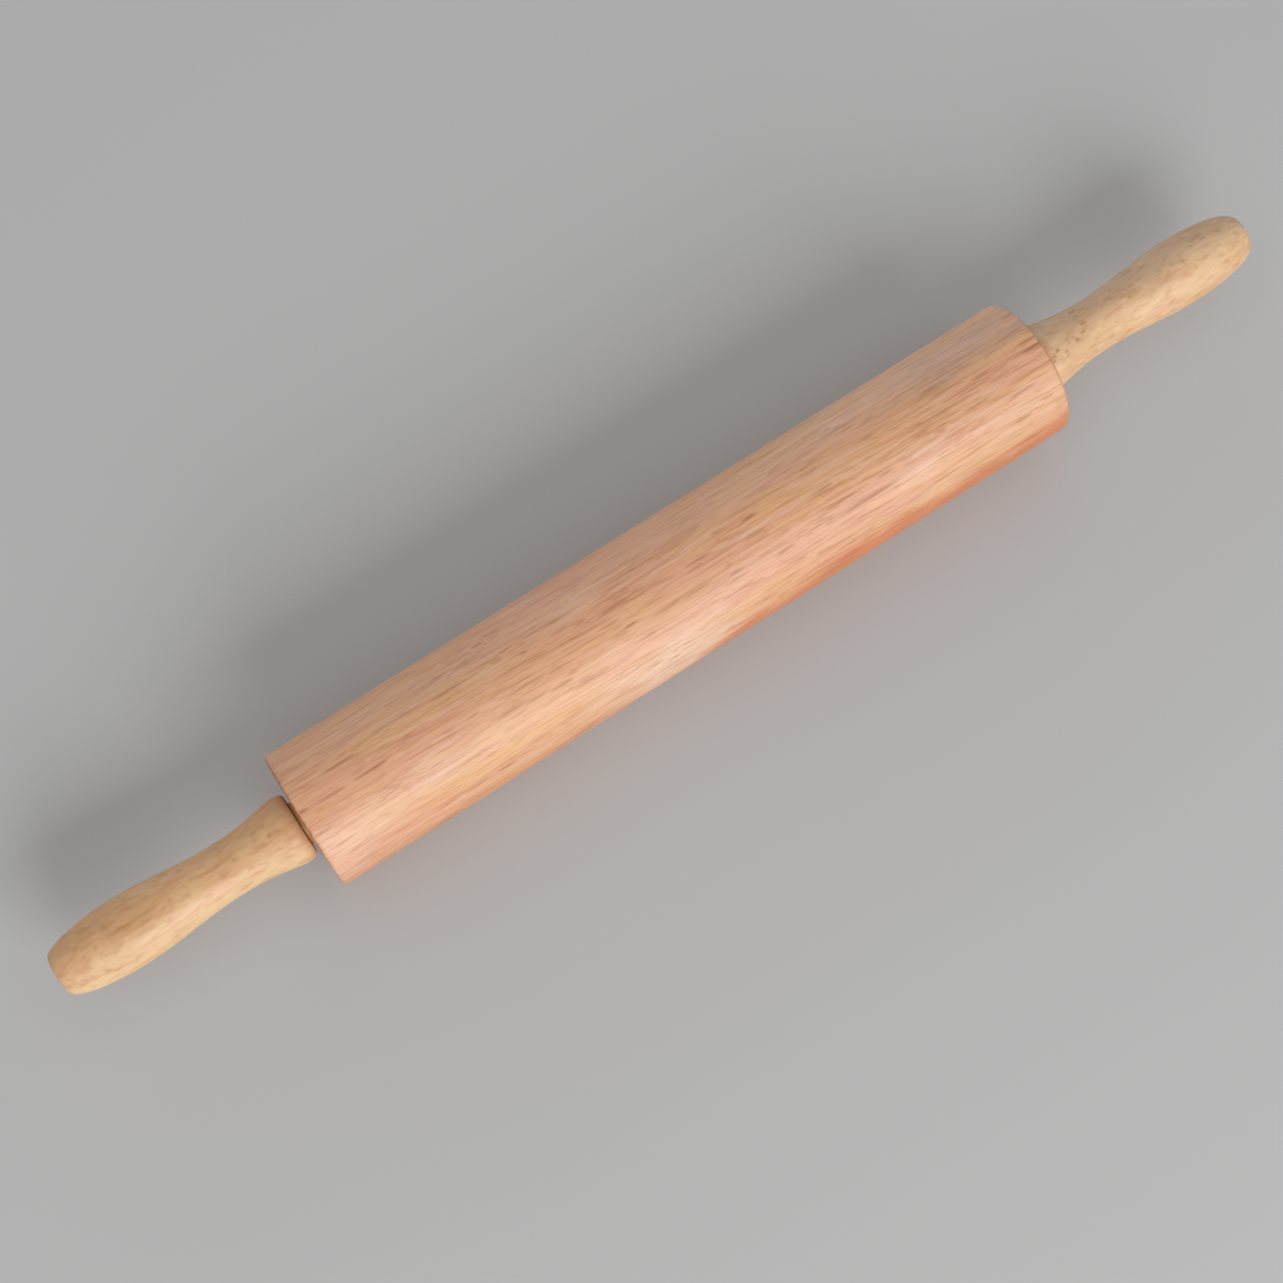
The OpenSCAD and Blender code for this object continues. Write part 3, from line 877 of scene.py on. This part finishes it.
class PIN_OT_inserts(bpy.types.Operator):
    """Turn the two threaded inserts"""

    bl_idname = "pin.inserts"
    bl_label = "Inserts"

    def execute(self, context):
        """Turns each insert as a closed ring. Outside it has a row of barbed rings, and inside
        the rod's thread with a clearance added, and a smooth socket."""
        s = context.scene.pin_fitting
        finish = context.scene.pin_finish
        # Turned brass: a warm yellow shine crossed by rings of tool marks 0.2 mm apart
        material = plain(
            "Brass, turned", finish.brass, metallic=1, roughness=0.28,
            grain=(0.2, 6, 6), depth=0.01)
        tip = ends("axle_rod")[1]
        socket = s.rod / 2 + s.clearance
        a = angles(THREAD_COLUMNS)
        for side, node in ((-1, "insert_left"), (1, "insert_right")):
            mouth, end = sorted(abs(x) for x in ends(node))
            outer = diameter(node) / 2
            root = outer - s.barb_depth
            ring = (end - mouth) / (s.barbs + 1)
            # Each ring starts low, rises towards the inner end and steps back
            saw = [(mouth + (i + share) * ring, radius)
                   for i in range(1, s.barbs + 1)
                   for share, radius in ((0.02, root), (0.78, outer), (0.82, outer))]
            outside = [(mouth, socket), (mouth, outer - s.edge), (mouth + s.edge, outer),
                       (mouth + ring * 0.98, outer), *saw, (end, root)]
            x, r = np.array(outside).T[:, :, None]
            start = mouth + s.socket
            rows = np.linspace(end, start, BORE_ROWS)[:, None]
            bore = thread_radius(s, rows, a, start + s.undercut, tip) + s.clearance
            x = np.concatenate([x, rows, [[start]]])
            r = np.concatenate([r + 0 * a, bore, socket + 0 * a])
            # A thread seen from the other end keeps its hand only if its angles run the other way
            r = r if side > 0 else turned_back(r)
            piece = turned(node + "_brass", x, r, THREAD_COLUMNS, side, loop=True)
            place(piece, node, "spindle", material)
        return {"FINISHED"}


class PIN_OT_stage(bpy.types.Operator):
    """Set up the camera, the lamps, the floor and the light from all round"""

    bl_idname = "pin.stage"
    bl_label = "Stage"

    def execute(self, context):
        """Adds the camera, the floor and the lamps, and lights the world evenly all round."""
        s = context.scene.pin_stage
        self.add_camera(context, s)
        self.add_floor(context, s)
        self.add_lamps(context)
        context.scene.view_settings.view_transform = "Standard"
        world = bpy.data.worlds.new("studio")
        world.use_nodes = True
        background = world.node_tree.nodes["Background"]
        background.inputs["Color"].default_value = (*s.surround, 1)
        background.inputs["Strength"].default_value = s.surround_level
        context.scene.world = world
        return {"FINISHED"}

    def add_camera(self, context, s):
        """Points the camera down at the pin's middle, set off from the picture's middle."""
        right = np.array([math.cos(s.azimuth), math.sin(s.azimuth), 0])
        ahead = np.array([-math.sin(s.azimuth) * math.cos(s.elevation),
                          math.cos(s.azimuth) * math.cos(s.elevation), -math.sin(s.elevation)])
        up = np.cross(right, ahead)
        depth = math.sqrt(s.distance ** 2 - s.off_right ** 2 - s.off_up ** 2)
        middle = np.array([0, 0, AXIS_HEIGHT])
        camera = bpy.data.objects.new("camera", bpy.data.cameras.new("camera"))
        camera.data.lens = s.lens
        camera.data.sensor_width = PICTURE_WIDTH
        camera.location = middle - s.off_right * right - s.off_up * up - depth * ahead
        camera.rotation_euler = (math.pi / 2 - s.elevation, 0, s.azimuth)
        context.scene.collection.objects.link(camera)
        context.scene.camera = camera

    def add_floor(self, context, s):
        """A round plain floor: one disc and two rings round it, on a grid of radius and angle,
        all at no height."""
        a = angles(FLOOR_COLUMNS)
        radius = np.array([0.5, 2, 6])[:, None]
        points = np.stack([radius * np.cos(a), radius * np.sin(a), 0 * radius * a], -1)
        index = np.arange(radius.size * a.size).reshape(radius.size, a.size)
        disc = index[0].tolist()
        index = np.concatenate([index, index[:, :1]], 1)
        rings = np.stack([index[:-1, :-1], index[1:, :-1], index[1:, 1:], index[:-1, 1:]], -1)
        mesh = bpy.data.meshes.new("floor")
        mesh.from_pydata(points.reshape(-1, 3).tolist(), [], [disc] + rings.reshape(-1, 4).tolist())
        # Matt paint: an even pale ground with next to no shine, on which soft shadows show
        material = bpy.data.materials.new("Floor, plain matt paint")
        material.use_nodes = True
        shader = material.node_tree.nodes["Principled BSDF"]
        shader.inputs["Base Color"].default_value = (*s.floor, 1)
        shader.inputs["Roughness"].default_value = 0.9
        shader.inputs["Specular IOR Level"].default_value = 0.1
        mesh.materials.append(material)
        floor = bpy.data.objects.new("floor", mesh)
        context.scene.collection.objects.link(floor)

    def add_lamps(self, context):
        """Two soft boxes: the key low on the near side, and a weak fill low on the far side.
        Each has its place, its width and height in metres, and its level."""
        lamps = (
            ("key", (-0.1, -1.9, 1.03), (1.6, 1.0), 0.75),
            ("fill", (0.4, 1.9, 0.5), (1.6, 0.6), 0.15),
        )
        for name, at, size, level in lamps:
            data = bpy.data.lights.new(name, "AREA")
            data.shape = "RECTANGLE"
            data.size, data.size_y = size
            towards = np.array([0, 0, AXIS_HEIGHT]) - np.array(at)
            distance = float(np.linalg.norm(towards))
            # At this power a white surface that faces the lamp shows as bright as its level
            data.energy = level * math.pi ** 2 * distance ** 2
            lamp = bpy.data.objects.new(name, data)
            lamp.location = at
            flat = math.hypot(towards[0], towards[1])
            turn = math.atan2(-towards[0], towards[1])
            lamp.rotation_euler = (math.atan2(flat, -towards[2]), 0, turn)
            context.scene.collection.objects.link(lamp)


OPERATORS = (
    PIN_OT_barrel, PIN_OT_handles, PIN_OT_washers, PIN_OT_bushes, PIN_OT_rod, PIN_OT_inserts, PIN_OT_stage)
SETTINGS = {
    "pin_barrel": PinBarrelSettings,
    "pin_handle": PinHandleSettings,
    "pin_fitting": PinFittingSettings,
    "pin_finish": PinFinishSettings,
    "pin_stage": PinStageSettings,
}


class PIN_PT_panel(bpy.types.Panel):
    """Lists the settings and the steps that make the pin"""

    bl_idname = "PIN_PT_panel"
    bl_label = "Rolling Pin"
    bl_space_type = "VIEW_3D"
    bl_region_type = "UI"
    bl_category = "Rolling Pin"

    def draw(self, context):
        """Shows each group of settings in a box of its own, and a button for each step."""
        for name, group in SETTINGS.items():
            box = self.layout.box()
            box.label(text=group.__doc__)
            for key in group.__annotations__:
                box.prop(getattr(context.scene, name), key)
        for operator in OPERATORS:
            self.layout.operator(operator.bl_idname)


def register():
    """Adds the classes, and one group of settings of each kind to every scene."""
    for group in (*SETTINGS.values(), *OPERATORS, PIN_PT_panel):
        bpy.utils.register_class(group)
    for name, group in SETTINGS.items():
        setattr(bpy.types.Scene, name, PointerProperty(type=group))


def unregister():
    """Takes away the settings and then the classes, in the opposite order."""
    for name in SETTINGS:
        delattr(bpy.types.Scene, name)
    for group in reversed((*SETTINGS.values(), *OPERATORS, PIN_PT_panel)):
        bpy.utils.unregister_class(group)


def main():
    """Registers the add-on and runs its steps in order."""
    register()
    for operator in OPERATORS:
        family, step = operator.bl_idname.split(".")
        getattr(getattr(bpy.ops, family), step)()


if __name__ == "__main__":
    main()
